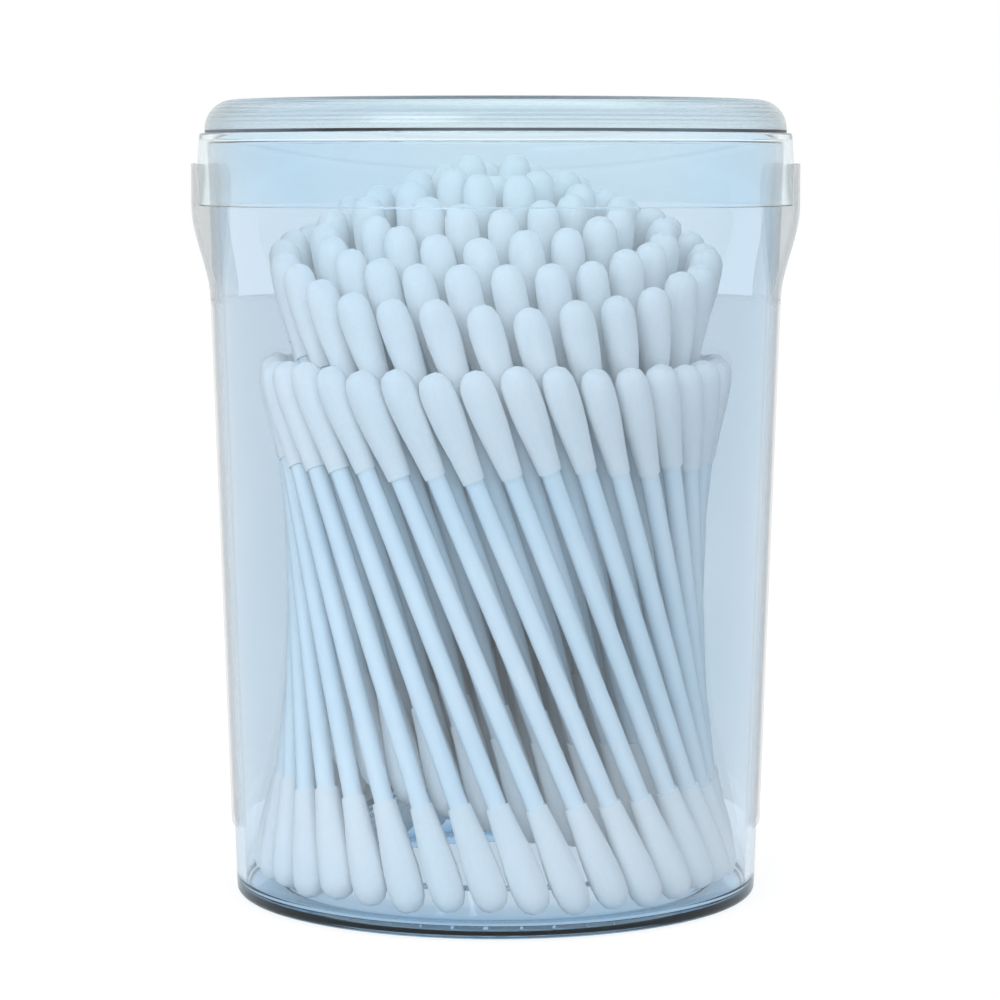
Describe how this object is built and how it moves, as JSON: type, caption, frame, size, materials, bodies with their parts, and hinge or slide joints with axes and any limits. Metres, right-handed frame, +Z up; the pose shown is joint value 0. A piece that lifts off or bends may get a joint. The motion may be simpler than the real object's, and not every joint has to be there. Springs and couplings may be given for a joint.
{
  "type": "cotton swab tub",
  "caption": "Clear tapered plastic tub with a snap lid, holding a twisted bundle of cotton swabs on end, with a film label round its back.",
  "frame": {"origin": "on the table under the middle of the tub", "axes": "+Z up through the lid, -Y towards the clear front, X through the two seal tabs of the label"},
  "size_m": [0.0814, 0.0806, 0.1066],
  "materials": {
    "drum_plastic": "clear pale blue moulding",
    "lid_plastic": "clear pale blue moulding",
    "label_film": "milky film",
    "stem_plastic": "satin tube",
    "cotton": "wound cotton"
  },
  "bodies": {
    "drum": {"drum": "drum_plastic", "label": "label_film", "swab_stems_row_1": "stem_plastic", "swab_stems_row_2": "stem_plastic", "swab_stems_row_3": "stem_plastic", "swab_stems_row_4": "stem_plastic", "swab_stems_row_5": "stem_plastic", "swab_stems_row_6": "stem_plastic", "swab_stems_row_7": "stem_plastic", "cotton_buds_row_1": "cotton", "cotton_buds_row_2": "cotton", "cotton_buds_row_3": "cotton", "cotton_buds_row_4": "cotton", "cotton_buds_row_5": "cotton", "cotton_buds_row_6": "cotton", "cotton_buds_row_7": "cotton"},
    "lid": {"lid": "lid_plastic"}
  },
  "joints": [
    {"name": "lid_lift", "type": "slide", "parent": "drum", "child": "lid", "axis": [0, 0, 1], "range_m": [0, 0.05]}
  ]
}
